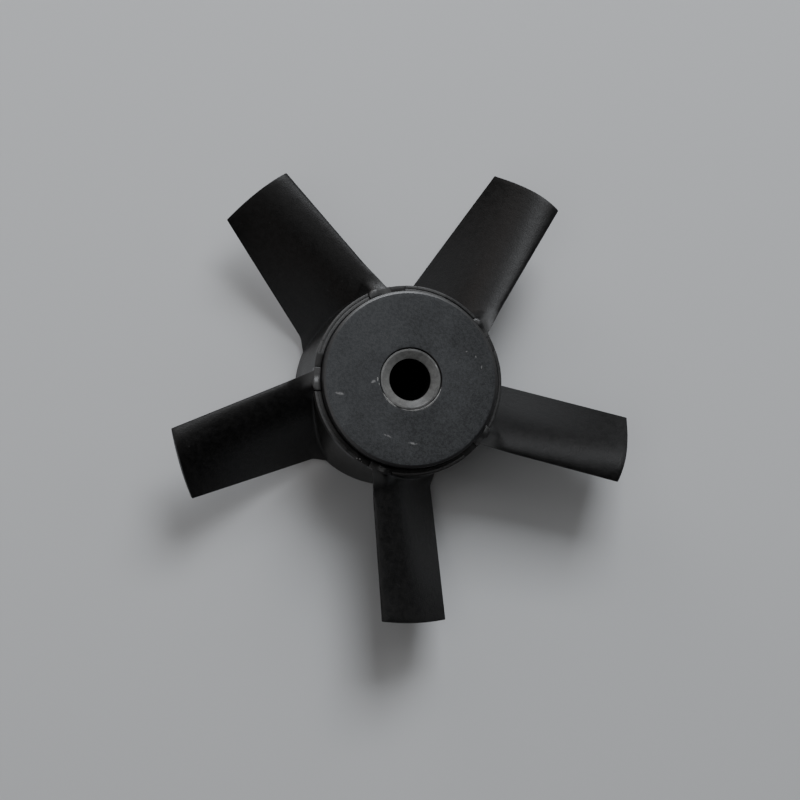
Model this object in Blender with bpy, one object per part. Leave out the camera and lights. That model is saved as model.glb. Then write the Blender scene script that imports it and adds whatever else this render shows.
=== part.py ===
"""Five-blade rotor of a model-aircraft ducted fan, moulded in black nylon.

The rotor stands on the rear rim of its hub. The origin is where the shaft axis meets the plane of that
rim, +Z runs along the shaft towards the air inlet, and the first blade points along -Y. Seen from the
front the rotor turns clockwise, so each blade's leading edge is its clockwise side.
"""

import math

import bmesh
import bpy

MM = 0.001

# Hub, in millimetres
HUB_HEIGHT = 15.8
HUB_RADIUS_FRONT = 12.5
HUB_RADIUS_REAR = 12.55
HUB_INNER_RADIUS = 10.9
RIM_CHAMFER = 0.25
SEAT_GAP = 0.3

# Raised disc on the front, and the sleeve that the motor's adaptor passes through
DISC_RADIUS = 11.6
DISC_THICKNESS = 4.1
DISC_CHAMFER = 0.3
DISC_HOLE_RADIUS = 4.15
SLEEVE_RADIUS = 3.85
BORE_RADIUS = 2.75
SLEEVE_RECESS = 0.5
SLEEVE_LENGTH = 7.0
SLEEVE_DISH = 0.55

# Front shoulder: what stands on the shell between the disc and the hub's outer edge
SHOULDER_DROP = 1.7
LEDGE_DROP = 2.95
SEGMENT_FLOOR_DROP = 0.15
SEGMENT_LIP_WIDTH = 0.25
PAD_RISE = 0.12
FOOT_START_ANGLE = -27.0
PAD_ANGLE = 13.6
SEGMENT_ANGLE = 48.5
SEAM_ANGLE = 0.9
BRIDGE_DROP = 0.08

# Blades: the ends of the straight leading and trailing edges, as angles from the blade's middle at the
# tip and as heights above the rear rim
BLADE_COUNT = 5
FIRST_BLADE_ANGLE = -90.0
TIP_RADIUS = 31.5
LEADING_ROOT_ANGLE = -25.2
LEADING_ROOT_HEIGHT = 13.5
LEADING_TIP_ANGLE = -8.6
LEADING_TIP_HEIGHT = 12.2
TRAILING_ROOT_ANGLE = 23.3
TRAILING_ROOT_HEIGHT = 1.0
TRAILING_TIP_ANGLE = 8.3
TRAILING_TIP_HEIGHT = 8.3
ROOT_THICKNESS = 1.9
TIP_THICKNESS = 1.0
TRAILING_THICKNESS = 0.36
CAMBER_SHARE = 0.07
ROOT_FILLET = 0.5
LEADING_FILLET_SHARE = 0.3
FILLET_ROUNDING = 3.0
FILLET_STATIONS = 4
FLARE_STATIONS = 4
SPAN_STATIONS = 8
CHORD_STEPS = 14

# Beside the hub the leading edge rises to the front shoulder, and the trailing edge draws out along the hub
FLARE_REACH = 2.2
FLARE_FALLOFF = 1.5
LEADING_FLARE_FLAT = 0.17
LEADING_FLARE_FALL = 0.12
LEADING_FLARE_TOP = 14.04
TRAILING_FLARE_START = 0.6
TRAILING_FLARE_LENGTH = 0.9

# Ribs inside the hub
RIB_THICKNESS = 1.2
RIB_DEPTH = 3.1

FULL_TURN_STEPS = 120
STEP_ANGLE = 360.0 / FULL_TURN_STEPS
SMOOTH_BELOW_ANGLE = 35.0


def clear_scene():
    for item in list(bpy.data.objects):
        bpy.data.objects.remove(item, do_unlink=True)


def make_material(name, colour, roughness):
    material = bpy.data.materials.new(name)
    material.use_nodes = True
    shader = material.node_tree.nodes["Principled BSDF"]
    shader.inputs["Base Color"].default_value = (*colour, 1.0)
    shader.inputs["Roughness"].default_value = roughness
    shader.inputs["Metallic"].default_value = 0.0
    return material


def add_object(name, shape, material):
    """Turns a bmesh in millimetres into an object in metres, shaded smooth up to its sharp edges."""
    bmesh.ops.recalc_face_normals(shape, faces=shape.faces)
    bmesh.ops.scale(shape, vec=(MM, MM, MM), verts=shape.verts)
    mesh = bpy.data.meshes.new(name)
    shape.to_mesh(mesh)
    shape.free()
    mesh.materials.append(material)
    mesh.shade_smooth()
    mesh.set_sharp_from_angle(angle=math.radians(SMOOTH_BELOW_ANGLE))
    item = bpy.data.objects.new(name, mesh)
    bpy.context.scene.collection.objects.link(item)
    return item


def on_circle(radius, angle, height):
    """The point at this radius, angle in degrees and height."""
    turn = math.radians(angle)
    return (radius * math.cos(turn), radius * math.sin(turn), height)


def sweep(shape, profile, angles, full_turn):
    """Adds the closed outline of (radius, height) points, swept about the shaft through the angles."""
    rings = [[shape.verts.new(on_circle(r, a, z)) for r, z in profile] for a in angles]
    spans = len(rings) if full_turn else len(rings) - 1
    for i in range(spans):
        here = rings[i]
        there = rings[(i + 1) % len(rings)]
        for j in range(len(profile)):
            k = (j + 1) % len(profile)
            shape.faces.new((here[j], there[j], there[k], here[k]))
    if not full_turn:
        shape.faces.new(rings[0])
        shape.faces.new(list(reversed(rings[-1])))


def turned(profile):
    """A whole ring with this outline."""
    shape = bmesh.new()
    sweep(shape, profile, [i * STEP_ANGLE for i in range(FULL_TURN_STEPS)], full_turn=True)
    return shape


def arc(shape, profile, start, end):
    """Adds the stretch of a ring between two angles."""
    steps = max(2, math.ceil((end - start) / STEP_ANGLE))
    sweep(shape, profile, [start + (end - start) * i / steps for i in range(steps + 1)], full_turn=False)


def blade_angle(index):
    return FIRST_BLADE_ANGLE + index * 360.0 / BLADE_COUNT


def foot_start(index):
    """The angle at which a blade root's foot begins, just ahead of the leading edge."""
    return blade_angle(index) + FOOT_START_ANGLE


def hub_outer_radius(height):
    """The hub's outside is a little wider at the rear, which lets it leave its mould."""
    share = height / HUB_HEIGHT
    return HUB_RADIUS_REAR + (HUB_RADIUS_FRONT - HUB_RADIUS_REAR) * share


def make_hub_shell(material):
    """The open cup behind the front disc, with a ledge for the blade roots and a bridge between each two."""
    disc_seat = HUB_HEIGHT - DISC_THICKNESS - SEAT_GAP
    top = HUB_HEIGHT - SHOULDER_DROP - BRIDGE_DROP
    mouth_radius = DISC_RADIUS + SEAT_GAP
    profile = [
        (HUB_RADIUS_REAR - RIM_CHAMFER, 0.0),
        (hub_outer_radius(RIM_CHAMFER), RIM_CHAMFER),
        (hub_outer_radius(top), top),
        (mouth_radius, top),
        (mouth_radius, disc_seat),
        (HUB_INNER_RADIUS, disc_seat),
        (HUB_INNER_RADIUS, RIM_CHAMFER),
        (HUB_INNER_RADIUS + RIM_CHAMFER, 0.0),
    ]
    shell = add_object("hub_shell", turned(profile), material)
    cut_ledges(shell, top)
    return shell


def cut_ledges(shell, top):
    """Lowers the shell's front edge wherever a blade root's foot sits on it."""
    ledge = HUB_HEIGHT - LEDGE_DROP
    overshoot = 1.0
    profile = [
        (DISC_RADIUS - overshoot, ledge),
        (HUB_RADIUS_REAR + overshoot, ledge),
        (HUB_RADIUS_REAR + overshoot, top + overshoot),
        (DISC_RADIUS - overshoot, top + overshoot),
    ]
    shape = bmesh.new()
    for index in range(BLADE_COUNT):
        start = foot_start(index) - SEAM_ANGLE
        arc(shape, profile, start, start + PAD_ANGLE + SEGMENT_ANGLE + 3 * SEAM_ANGLE)
    cutter = add_object("ledge_cutter", shape, shell.data.materials[0])
    cutter.hide_render = True
    cutter.display_type = "WIRE"
    cut = shell.modifiers.new("Ledges", "BOOLEAN")
    cut.operation = "DIFFERENCE"
    cut.object = cutter


def make_front_disc(material):
    """The raised disc that a spinner or nut bears on."""
    top = HUB_HEIGHT
    bottom = HUB_HEIGHT - DISC_THICKNESS
    profile = [
        (DISC_RADIUS, bottom),
        (DISC_RADIUS, top - DISC_CHAMFER),
        (DISC_RADIUS - DISC_CHAMFER, top),
        (DISC_HOLE_RADIUS, top),
        (DISC_HOLE_RADIUS, bottom),
    ]
    return add_object("front_disc", turned(profile), material)


def make_shaft_sleeve(material):
    """The tube round the bore: its end is a little below the disc's face and dishes down to the bore."""
    top = HUB_HEIGHT - SLEEVE_RECESS
    bottom = top - SLEEVE_LENGTH
    profile = [
        (SLEEVE_RADIUS, bottom),
        (SLEEVE_RADIUS, top),
        (BORE_RADIUS, top - SLEEVE_DISH),
        (BORE_RADIUS, bottom),
    ]
    return add_object("shaft_sleeve", turned(profile), material)


def make_rib(index, material):
    """One of the radial ribs under the disc, between the sleeve and the shell."""
    top = HUB_HEIGHT - DISC_THICKNESS - SEAT_GAP
    inner = SLEEVE_RADIUS + SEAT_GAP
    outer = HUB_INNER_RADIUS - SEAT_GAP
    half = RIB_THICKNESS / 2
    outline = ((inner, -half), (outer, -half), (outer, half), (inner, half))
    turn = math.radians(blade_angle(index))
    shape = bmesh.new()
    corners = []
    for along, across in outline:
        x = along * math.cos(turn) - across * math.sin(turn)
        y = along * math.sin(turn) + across * math.cos(turn)
        corners.append(shape.verts.new((x, y, top - RIB_DEPTH)))
    face = shape.faces.new(corners)
    raised = bmesh.ops.extrude_face_region(shape, geom=[face])
    moved = [v for v in raised["geom"] if isinstance(v, bmesh.types.BMVert)]
    bmesh.ops.translate(shape, vec=(0.0, 0.0, RIB_DEPTH), verts=moved)
    return add_object(f"hub_rib_{index + 1}", shape, material)


def make_root_pad(index, material):
    """The smooth end of the foot, where the leading edge runs into the front shoulder."""
    bottom = HUB_HEIGHT - LEDGE_DROP + SEAT_GAP
    top = HUB_HEIGHT - SHOULDER_DROP + PAD_RISE
    profile = [
        (DISC_RADIUS + SEAT_GAP, bottom),
        (HUB_RADIUS_FRONT, bottom),
        (HUB_RADIUS_FRONT, top - PAD_RISE),
        (HUB_RADIUS_FRONT - PAD_RISE, top),
        (DISC_RADIUS + SEAT_GAP, top),
    ]
    shape = bmesh.new()
    arc(shape, profile, foot_start(index), foot_start(index) + PAD_ANGLE)
    return add_object(f"root_pad_{index + 1}", shape, material)


def make_rim_segment(index, material):
    """The long end of the foot: a floor beside the disc and a lip along the hub's outer edge."""
    bottom = HUB_HEIGHT - LEDGE_DROP + SEAT_GAP
    lip_top = HUB_HEIGHT - SHOULDER_DROP
    floor_top = lip_top - SEGMENT_FLOOR_DROP
    lip_radius = HUB_RADIUS_FRONT - SEGMENT_LIP_WIDTH
    profile = [
        (DISC_RADIUS + SEAT_GAP, bottom),
        (HUB_RADIUS_FRONT, bottom),
        (HUB_RADIUS_FRONT, lip_top),
        (lip_radius, lip_top),
        (lip_radius, floor_top),
        (DISC_RADIUS + SEAT_GAP, floor_top),
    ]
    start = foot_start(index) + PAD_ANGLE + SEAM_ANGLE
    shape = bmesh.new()
    arc(shape, profile, start, start + SEGMENT_ANGLE)
    return add_object(f"rim_segment_{index + 1}", shape, material)


def edge_place(root_angle, root_height, tip_angle, tip_height, radius):
    """(angle, height) where a blade's straight edge, from the hub to the tip, reaches this radius."""
    root = on_circle(HUB_RADIUS_FRONT, root_angle, root_height)
    tip = on_circle(TIP_RADIUS, tip_angle, tip_height)
    run = [b - a for a, b in zip(root, tip)]
    square = run[0] ** 2 + run[1] ** 2
    half_linear = root[0] * run[0] + root[1] * run[1]
    constant = root[0] ** 2 + root[1] ** 2 - radius**2
    share = (-half_linear + math.sqrt(half_linear**2 - square * constant)) / square
    x, y, z = (a + share * b for a, b in zip(root, run))
    return math.degrees(math.atan2(y, x)), z


def half_thickness(share, thickness, chord):
    """Half the thickness of the aerofoil, at this share of the chord behind the leading edge."""
    curve = (
        0.2969 * math.sqrt(share)
        - 0.1260 * share
        - 0.3516 * share**2
        + 0.2843 * share**3
        - 0.1036 * share**4
    )
    return 5 * (thickness / chord) * curve * chord + share * TRAILING_THICKNESS / 2


def fillet_growth(radius, root_radius):
    """How far the section swells where a quarter-round fillet joins the blade to the hub."""
    away = (radius - root_radius) / ROOT_FILLET
    if away >= 1.0:
        return 0.0
    return ROOT_FILLET * (1.0 - math.sqrt(1.0 - (1.0 - away) ** 2))


def soft_step(value):
    """Rises smoothly from 0 to 1 while the value does."""
    value = min(1.0, max(0.0, value))
    return value * value * (3.0 - 2.0 * value)


def root_flare(radius, root_radius):
    """1 where the blade meets the hub, falling to 0 at the flare's reach."""
    return (1.0 - soft_step((radius - root_radius) / FLARE_REACH)) ** FLARE_FALLOFF


def section(radius, root_radius, turn):
    """The upper and lower points of the blade's section at one radius, from leading to trailing edge.

    The section is laid out flat, with the arc length along the hub's circle as one axis and the height
    as the other, and then wrapped back round the shaft.
    """
    lead_angle, lead_height = edge_place(
        LEADING_ROOT_ANGLE, LEADING_ROOT_HEIGHT, LEADING_TIP_ANGLE, LEADING_TIP_HEIGHT, radius
    )
    trail_angle, trail_height = edge_place(
        TRAILING_ROOT_ANGLE, TRAILING_ROOT_HEIGHT, TRAILING_TIP_ANGLE, TRAILING_TIP_HEIGHT, radius
    )
    along = math.radians(trail_angle - lead_angle) * radius
    down = trail_height - lead_height
    chord = math.hypot(along, down)
    forward = (along / chord, down / chord)
    outward = (-forward[1], forward[0])
    growth = fillet_growth(radius, root_radius)
    flare = root_flare(radius, root_radius)
    span = (radius - root_radius) / (TIP_RADIUS - root_radius)
    thickness = ROOT_THICKNESS + (TIP_THICKNESS - ROOT_THICKNESS) * span
    upper, lower = [], []
    for i in range(CHORD_STEPS + 1):
        share = (1.0 - math.cos(math.pi * i / CHORD_STEPS)) / 2
        camber = 4 * CAMBER_SHARE * chord * share * (1.0 - share)
        reach = share * (chord + growth * (1.0 + LEADING_FILLET_SHARE)) - growth * LEADING_FILLET_SHARE
        front = 1.0 - soft_step((share - LEADING_FLARE_FLAT) / LEADING_FLARE_FALL)
        back = soft_step((share - TRAILING_FLARE_START) / (1.0 - TRAILING_FLARE_START))
        nearest_end = math.sqrt(min(share, 1.0 - share))
        half = half_thickness(share, thickness, chord) + growth * min(1.0, FILLET_ROUNDING * nearest_end)
        for side, points in ((1.0, upper), (-1.0, lower)):
            offset = camber + side * half
            arc_length = reach * forward[0] + offset * outward[0] + TRAILING_FLARE_LENGTH * flare * back
            height = lead_height + reach * forward[1] + offset * outward[1]
            if side > 0:
                height += max(0.0, LEADING_FLARE_TOP - height) * flare * front
            angle = turn + lead_angle + math.degrees(arc_length / radius)
            points.append(on_circle(radius, angle, height))
    return upper, lower


def blade_radii(root_radius):
    """The radii of the sections: close together in the fillet and the flare, then evenly out to the tip."""
    fillet_end = root_radius + ROOT_FILLET
    flare_end = root_radius + FLARE_REACH
    fillet = [
        root_radius + ROOT_FILLET * (1.0 - math.cos(math.pi / 2 * i / FILLET_STATIONS))
        for i in range(FILLET_STATIONS)
    ]
    flare = [fillet_end + (flare_end - fillet_end) * i / FLARE_STATIONS for i in range(FLARE_STATIONS)]
    outer = [flare_end + (TIP_RADIUS - flare_end) * i / SPAN_STATIONS for i in range(SPAN_STATIONS + 1)]
    return fillet + flare + outer


def close_end(shape, ring):
    """Fills a blade's end with a strip from the leading edge, the ring's middle, to the trailing edge."""
    middle = len(ring) // 2
    shape.faces.new((ring[middle - 1], ring[middle], ring[middle + 1]))
    for i in range(1, middle):
        shape.faces.new((ring[middle - i - 1], ring[middle - i], ring[middle + i], ring[middle + i + 1]))


def make_blade(index, material):
    """A twisted, cambered aerofoil whose edges are straight lines from the hub to the tip circle."""
    root_radius = HUB_RADIUS_REAR + SEAT_GAP
    shape = bmesh.new()
    rings = []
    for radius in blade_radii(root_radius):
        upper, lower = section(radius, root_radius, blade_angle(index))
        outline = list(reversed(upper)) + lower[1:]
        rings.append([shape.verts.new(point) for point in outline])
    for here, there in zip(rings, rings[1:]):
        for j in range(len(here)):
            k = (j + 1) % len(here)
            shape.faces.new((here[j], there[j], there[k], here[k]))
    close_end(shape, rings[0])
    close_end(shape, rings[-1])
    return add_object(f"blade_{index + 1}", shape, material)


def main():
    clear_scene()
    make_hub_shell(make_material("moulded_hub", (0.016, 0.016, 0.017), 0.5))
    make_front_disc(make_material("eroded_disc", (0.050, 0.055, 0.058), 0.7))
    make_shaft_sleeve(make_material("smooth_sleeve", (0.13, 0.13, 0.125), 0.4))
    rib_material = make_material("hub_ribs", (0.016, 0.016, 0.017), 0.5)
    blade_material = make_material("moulded_blade", (0.012, 0.011, 0.011), 0.4)
    foot_material = make_material("moulded_foot", (0.03, 0.03, 0.032), 0.45)
    for index in range(BLADE_COUNT):
        make_rib(index, rib_material)
        make_blade(index, blade_material)
        make_root_pad(index, foot_material)
        make_rim_segment(index, foot_material)


main()
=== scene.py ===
# %% [markdown]
# # Five-blade rotor of a small ducted fan
# This notebook dresses a CAD rotor for its picture. The rotor is one moulding in black nylon: a cup-shaped
# hub, a flat disc with a fine eroded grain on its front, and five twisted blades.
# The CAD solids already have the right sizes and never move. Here each one gets a finer piece in its place,
# with the rounded edges, seams and surface that show in a close picture.

# %% Load the frame
import math

import bmesh
import bpy
from mathutils import Matrix, Vector
from mathutils.noise import noise as noise_value


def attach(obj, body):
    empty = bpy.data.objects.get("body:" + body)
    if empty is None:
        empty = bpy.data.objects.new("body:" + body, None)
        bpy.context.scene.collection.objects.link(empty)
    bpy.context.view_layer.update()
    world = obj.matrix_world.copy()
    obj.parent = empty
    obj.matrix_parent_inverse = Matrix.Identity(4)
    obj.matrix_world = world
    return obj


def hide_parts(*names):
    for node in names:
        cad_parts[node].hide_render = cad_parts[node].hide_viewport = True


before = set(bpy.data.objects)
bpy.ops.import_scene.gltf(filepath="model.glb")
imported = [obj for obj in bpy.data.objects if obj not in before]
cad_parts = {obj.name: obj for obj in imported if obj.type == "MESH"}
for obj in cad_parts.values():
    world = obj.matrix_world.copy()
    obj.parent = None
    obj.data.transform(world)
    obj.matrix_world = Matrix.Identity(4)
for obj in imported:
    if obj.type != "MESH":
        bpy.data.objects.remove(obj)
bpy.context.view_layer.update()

# %% [markdown]
# ## The camera
# The picture looks almost straight down the shaft, from a little to the lower left of it. A rotor seen like
# that shows its disc as nearly a circle, and how the circle and the five blade tips shift against each other
# gives the three small turns below. A long lens keeps the blades' proportions. The view is built as a
# rotation matrix, so that no target object is needed.

# %% Place the camera
MM = 0.001
SENSOR_WIDTH = 36.0
FOCAL_LENGTH = 127.09
TILT_DOWN, TILT_LEFT, ROLL = -6.1, 12.2, 1.63
AIM_HEIGHT = 14.7
EYE_FROM_AIM = (-1.210, -2.616, 367.6)

tilt = Matrix.Rotation(math.radians(TILT_LEFT), 3, "Y") @ Matrix.Rotation(math.radians(TILT_DOWN), 3, "X")
row_to_view = tilt @ Matrix.Rotation(math.radians(ROLL), 3, "Z")
view_to_row = row_to_view.transposed()


def add_object(name, data):
    """A new object in the scene, made of this data."""
    made = bpy.data.objects.new(name, data)
    bpy.context.scene.collection.objects.link(made)
    return made


lens = bpy.data.cameras.new("picture_camera")
lens.sensor_width = SENSOR_WIDTH
lens.lens = FOCAL_LENGTH
lens.clip_start = 0.01
camera = add_object("picture_camera", lens)
eye = view_to_row @ Vector(EYE_FROM_AIM) + Vector((0.0, 0.0, AIM_HEIGHT))
camera.matrix_world = Matrix.Translation(eye * MM) @ view_to_row.to_4x4()
bpy.context.scene.camera = camera
print("camera stands", round(eye.length), "mm away, at", [round(v) for v in eye])

# %% Build the floor
def paint(name, colour, roughness):
    """A new node material with a plain colour and roughness, as a start."""
    material = bpy.data.materials.new(name)
    material.use_nodes = True
    shader = material.node_tree.nodes["Principled BSDF"]
    shader.inputs["Base Color"].default_value = (*colour, 1.0)
    shader.inputs["Roughness"].default_value = roughness
    return material


def sheet(name, corners, material):
    """A flat object with these corners."""
    mesh = bpy.data.meshes.new(name)
    mesh.from_pydata(corners, [], [tuple(range(len(corners)))])
    mesh.materials.append(material)
    return add_object(name, mesh)


FLOOR_HALF, FLOOR_DROP = 1.5, 0.0001
FLOOR_TONE, FLOOR_DULLNESS = (0.66, 0.67, 0.68), 0.8
GLOW_TINT, FLOOR_GLOW = (0.97, 0.98, 1.0, 1.0), 0.01
corners = [(x * FLOOR_HALF, y * FLOOR_HALF, -FLOOR_DROP) for x, y in ((-1, -1), (1, -1), (1, 1), (-1, 1))]
floor_paint = paint("pale_floor", FLOOR_TONE, FLOOR_DULLNESS)
floor_shader = floor_paint.node_tree.nodes["Principled BSDF"]
floor_shader.inputs["Emission Color"].default_value = GLOW_TINT
floor_shader.inputs["Emission Strength"].default_value = FLOOR_GLOW
floor = sheet("floor", corners, floor_paint)
print("floor:", 2 * FLOOR_HALF, "m across")

# %% [markdown]
# ## The painted shade under the bore
# The bore goes right through, so the pale floor would shine up through it, but the picture shows a black
# hole, dark with shade. A piece of black card hidden under the hub paints that shade in.

# %% Lay the black card that paints the shade in the bore
# Painted shade: the black card darkens whatever shows through the bore.
CARD_RADIUS, CARD_CORNERS, CARD_DROP = 10.5, 48, 0.00004
SHADE_CARD_TONE, CARD_DULLNESS = (0.010, 0.010, 0.011), 0.9
turns = [2 * math.pi * i / CARD_CORNERS for i in range(CARD_CORNERS)]
corners = [(CARD_RADIUS * MM * math.cos(a), CARD_RADIUS * MM * math.sin(a), -CARD_DROP) for a in turns]
card = sheet("painted_shade_card", corners, paint("painted_shade_card", SHADE_CARD_TONE, CARD_DULLNESS))
print("card:", CARD_RADIUS, "mm in radius")

# %% [markdown]
# ## The light
# A black part shows mostly what it reflects, so the lights draw it. The main panel hangs beyond the rotor,
# at the top of the picture, so the far edges of the disc shine and the near ones stay dark. Weaker panels
# stand round it. One big dome would be simpler, but it would fill the bands of light and dark on the blades.

# %% Hang the lights
PANEL_DISTANCE, PANEL_SIZE = 0.6, 0.28
SKY_COLOUR, SKY_STRENGTH = (0.75, 0.78, 0.82), 0.005
WHITE_LIGHT, WARM_LIGHT, COOL_LIGHT = (1.0, 1.0, 1.0), (1.0, 0.86, 0.80), (0.93, 0.96, 1.0)


def hang_panel(name, azimuth, elevation, power, colour=WHITE_LIGHT):
    """A square light panel that faces the rotor. Azimuth is counterclockwise from the picture's right."""
    panel = bpy.data.lights.new(name, "AREA")
    panel.color = colour
    panel.size = PANEL_SIZE
    panel.energy = power
    lamp = add_object(name, panel)
    a, e = math.radians(azimuth), math.radians(elevation)
    way = Vector((math.cos(a) * math.cos(e), math.sin(a) * math.cos(e), math.sin(e)))
    lamp.location = way * PANEL_DISTANCE
    lamp.rotation_mode = "QUATERNION"
    lamp.rotation_quaternion = way.to_track_quat("Z", "Y")
    lamp.visible_camera = False


PANELS = (("main_panel", 80, 50, 2.10, COOL_LIGHT), ("high_main_panel", 80, 68, 0.30),
          ("far_right_panel", 60, 32, 0.22), ("high_left_panel", 180, 68, 0.263),
          ("far_left_panel", 120, 32, 0.291), ("low_far_panel", 120, 15, 0.298, WARM_LIGHT),
          ("right_panel", 20, 32, 0.13), ("near_panel", 215, 50, 0.109),
          ("low_near_panel", 215, 15, 0.10, WARM_LIGHT))
for panel in PANELS:
    hang_panel(*panel)

sky = bpy.data.worlds.new("studio")
sky.use_nodes = True
sky.node_tree.nodes["Background"].inputs["Color"].default_value = (*SKY_COLOUR, 1.0)
sky.node_tree.nodes["Background"].inputs["Strength"].default_value = SKY_STRENGTH
bpy.context.scene.world = sky
print("panels:", sorted(light.name for light in bpy.data.lights))

# %% [markdown]
# ## Effects that several finishes share
# Moulded nylon is never one flat black. The mould leaves a fine grain, the melt leaves cloudy patches where
# it cooled at different speeds, handling rubs the edges bright, and dust stays in the grain. Each effect is
# one node group with named inputs and outputs, so every finish below can use it with its own values.

# %% Helpers for a group, its inputs and its outputs
def new_group(name, inputs, outputs):
    """A shader node group with these float inputs (name: default) and float outputs."""
    tree = bpy.data.node_groups.new(name, "ShaderNodeTree")
    for socket, value in inputs.items():
        made = tree.interface.new_socket(socket, in_out="INPUT", socket_type="NodeSocketFloat")
        made.default_value = value
    for socket in outputs:
        tree.interface.new_socket(socket, in_out="OUTPUT", socket_type="NodeSocketFloat")
    return tree, tree.nodes.new("NodeGroupInput"), tree.nodes.new("NodeGroupOutput")


def give(tree, result, **values):
    """Links each value to the group's output of that name."""
    for socket, value in values.items():
        tree.links.new(value, result.inputs[socket])
    print(tree.name, "has", len(tree.nodes), "nodes")


print("node groups before the effects:", len(bpy.data.node_groups))

# %% Helpers for the nodes inside the groups
def feed(tree, socket, value):
    """Gives a socket its value, or a link where the value is another node's socket."""
    if isinstance(value, bpy.types.NodeSocket):
        tree.links.new(value, socket)
    else:
        socket.default_value = value


def maths(tree, operation, *values, clamp=False):
    """A Math node whose inputs are numbers or sockets, and its result."""
    node = tree.nodes.new("ShaderNodeMath")
    node.operation = operation
    node.use_clamp = clamp
    for socket, value in zip(node.inputs, values):
        feed(tree, socket, value)
    return node.outputs[0]


def noise(tree, scale, detail, roughness=0.5):
    """Noise in the rotor's own coordinates, so it doesn't slide when the rotor turns."""
    place = tree.nodes.new("ShaderNodeTexCoord")
    node = tree.nodes.new("ShaderNodeTexNoise")
    tree.links.new(place.outputs["Object"], node.inputs["Vector"])
    feed(tree, node.inputs["Scale"], scale)
    node.inputs["Detail"].default_value = detail
    node.inputs["Roughness"].default_value = roughness
    return node.outputs["Fac"]


def stretch(tree, value, low, high):
    """Spreads low..high over 0..1 with soft ends."""
    node = tree.nodes.new("ShaderNodeMapRange")
    node.interpolation_type = "SMOOTHSTEP"
    tree.links.new(value, node.inputs["Value"])
    node.inputs["From Min"].default_value = low
    node.inputs["From Max"].default_value = high
    return node.outputs["Result"]


print("materials so far:", sorted(material.name for material in bpy.data.materials))

# %% [markdown]
# ### Mould grain
# A mould's surface is cut by sparks or rubbed with stones, and the nylon copies it. Two noises, one coarse
# and one fine, give the height for a Bump node. Each also varies the tone: the coarse one as a mottle, the
# fine one as grit.

# %% Build the mould grain
NOISE_SPREAD = (0.34, 0.66)
settings = {"Coarse Scale": 3000.0, "Fine Scale": 9000.0, "Coarse Share": 0.5}
tree, given, result = new_group("Mould grain", settings, ["Height", "Mottle", "Grit"])
coarse = noise(tree, given.outputs["Coarse Scale"], detail=3.0, roughness=0.6)
fine = noise(tree, given.outputs["Fine Scale"], detail=2.0, roughness=0.7)
difference = maths(tree, "SUBTRACT", coarse, fine)
height = maths(tree, "MULTIPLY_ADD", difference, given.outputs["Coarse Share"], fine)
mottle, grit = stretch(tree, coarse, *NOISE_SPREAD), stretch(tree, fine, *NOISE_SPREAD)
give(tree, result, Height=height, Mottle=mottle, Grit=grit)

# %% [markdown]
# ### Clouds in the melt, and a painted light drift
# The melt cools unevenly and leaves slow, cloudy patches, given by a slow noise. The group adds to it a drift
# across the part, in the rotor's own coordinates: painted light and shade, paler towards the upper left,
# where the light falls, and darker towards the lower right.

# %% Build the clouds in the melt, and the painted light drift
# Painted light and shade: the tone drifts paler along this direction, towards the lit upper left.
SHADED_TO_LIT = (-0.78, 0.62, 0.0)
CLOUD_SPREAD = (0.35, 0.65)
tree, given, result = new_group("Melt clouds and painted light", {"Cloud Scale": 150.0, "Drift": 0.0}, ["Cloud"])
cloud = noise(tree, given.outputs["Cloud Scale"], detail=2.0, roughness=0.45)
across = tree.nodes.new("ShaderNodeVectorMath")
across.operation = "DOT_PRODUCT"
across.inputs[1].default_value = SHADED_TO_LIT
tree.links.new(tree.nodes.new("ShaderNodeTexCoord").outputs["Object"], across.inputs[0])
drift = maths(tree, "MULTIPLY", across.outputs["Value"], given.outputs["Drift"])
give(tree, result, Cloud=maths(tree, "ADD", stretch(tree, cloud, *CLOUD_SPREAD), drift, clamp=True))

# %% [markdown]
# ### Rubbed edges
# Fingers, the duct and the packing rub the sharp edges first, and rubbed nylon is paler and smoother. Every
# piece's mesh carries a number called edge, 0 on flat places and 1 on tight convex corners. The group breaks
# it up with noise, because wear is never an even line.

# %% Build the rubbed edges
PATCH_SPREAD = (0.3, 0.6)
settings = {"Edge": 0.0, "Patch Scale": 500.0, "Amount": 1.0}
tree, given, result = new_group("Rubbed edges", settings, ["Rub"])
patches = noise(tree, given.outputs["Patch Scale"], detail=5.0, roughness=0.7)
broken = maths(tree, "MULTIPLY", given.outputs["Edge"], stretch(tree, patches, *PATCH_SPREAD))
give(tree, result, Rub=maths(tree, "MULTIPLY", broken, given.outputs["Amount"], clamp=True))

# %% [markdown]
# ### Dust and specks
# A black part shows every grain of dust. Small noise cells that pass a high threshold are single specks, and
# a slower noise gathers them in drifts.

# %% Build the dust
SPECK_THRESHOLD, DRIFT_SCALE, DRIFT_THRESHOLD = (0.72, 0.80), 160.0, (0.5, 0.75)
tree, given, result = new_group("Dust specks", {"Speck Scale": 2200.0, "Amount": 0.5}, ["Dust"])
specks = stretch(tree, noise(tree, given.outputs["Speck Scale"], detail=1.0), *SPECK_THRESHOLD)
drifts = stretch(tree, noise(tree, DRIFT_SCALE, detail=3.0), *DRIFT_THRESHOLD)
gathered = maths(tree, "MULTIPLY", specks, drifts)
give(tree, result, Dust=maths(tree, "MULTIPLY", gathered, given.outputs["Amount"], clamp=True))

# %% [markdown]
# ### Scuffs
# Where a tool or a nut touched the grained face, the grain is scraped pale. A scuff is a short stroke: the
# group measures how far a point lies along and across the stroke and breaks the mark up with the grain.

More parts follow.
